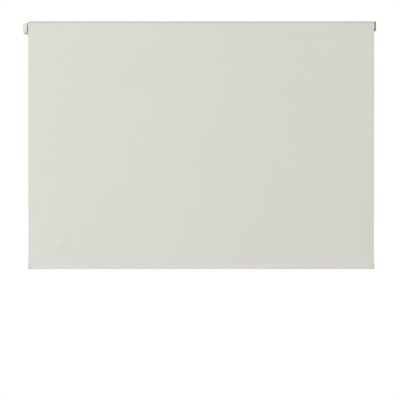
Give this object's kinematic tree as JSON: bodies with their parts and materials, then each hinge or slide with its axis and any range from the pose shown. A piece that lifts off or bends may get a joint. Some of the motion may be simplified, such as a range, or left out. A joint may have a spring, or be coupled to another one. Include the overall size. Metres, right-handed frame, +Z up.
{
  "type": "roller blind",
  "caption": "Spring-driven roller blind: plain cloth wound on a tube between two wall brackets, hanging to a flat weighted hem.",
  "frame": {"origin": "middle of the four screw holes, on the wall's surface, level with the roller's axis", "axes": "+Z up, +Y into the wall, +X to the right for someone facing the wall; the roller lies along X"},
  "size_m": [1.4312, 0.0647, 1.0084],
  "materials": {
    "cloth": "plain close weave, matt",
    "cover_plastic": "fine moulded texture",
    "bracket_steel": "satin powder coat",
    "end_cap_plastic": "moulded, satin",
    "hem_plastic": "moulded, satin",
    "nylon": "moulded, waxy",
    "bright_steel": "drawn or turned, oiled",
    "tube_steel": "zinc plated",
    "spring_steel": "hard drawn, oiled",
    "bar_aluminium": "as extruded",
    "tape": "adhesive film"
  },
  "bodies": {
    "brackets": {"left_bracket": "bracket_steel", "left_bracket_cover": "cover_plastic", "right_bracket": "bracket_steel", "pin_bush": "nylon", "spindle_rod": "bright_steel", "ratchet_wheel": "bright_steel", "drive_spring": "spring_steel", "spring_anchor": "nylon", "spindle_clip": "spring_steel"},
    "roller": {"roller_tube": "tube_steel", "spring_end_cap": "end_cap_plastic", "ratchet_cover": "end_cap_plastic", "pawl_pins": "bright_steel", "spindle_bushing": "nylon", "idle_end_cap": "end_cap_plastic", "pin_retainer": "end_cap_plastic", "idle_pin_spring": "spring_steel", "fabric_tape": "tape", "fabric_roll": "cloth"},
    "pawl_a": {"pawl_a": "bright_steel"},
    "pawl_b": {"pawl_b": "bright_steel"},
    "idle_pin": {"idle_pin": "bright_steel"},
    "curtain": {"fabric_panel": "cloth", "hem_sleeve": "cloth", "hem_bar": "bar_aluminium", "hem_cap_left": "hem_plastic", "hem_cap_right": "hem_plastic"}
  },
  "joints": [
    {"name": "bar_slide", "type": "slide", "parent": "brackets", "child": "curtain", "axis": [0, 0, 1], "range_m": [-0.9, 0.9], "deforming": ["fabric_panel"]},
    {"name": "tube_spin", "type": "hinge", "parent": "brackets", "child": "roller", "pos_m": [0, -0.044, 0], "axis": [-1, 0, 0], "range_deg": [-2520, 2520]},
    {"name": "pawl_a_swing", "type": "hinge", "parent": "roller", "child": "pawl_a", "pos_m": [-0.6995, -0.034, 0], "axis": [-1, 0, 0], "range_deg": [0, 22]},
    {"name": "pawl_b_swing", "type": "hinge", "parent": "roller", "child": "pawl_b", "pos_m": [-0.6995, -0.054, 0], "axis": [-1, 0, 0], "range_deg": [0, 22]},
    {"name": "pin_push", "type": "slide", "parent": "roller", "child": "idle_pin", "axis": [-1, 0, 0], "range_m": [0, 0.006], "stiffness_N_per_m": 300, "deforming": ["idle_pin_spring"]}
  ],
  "couplings": [
    {"joint": "tube_spin", "follows": "bar_slide", "rad_per_m": 48.869}
  ]
}
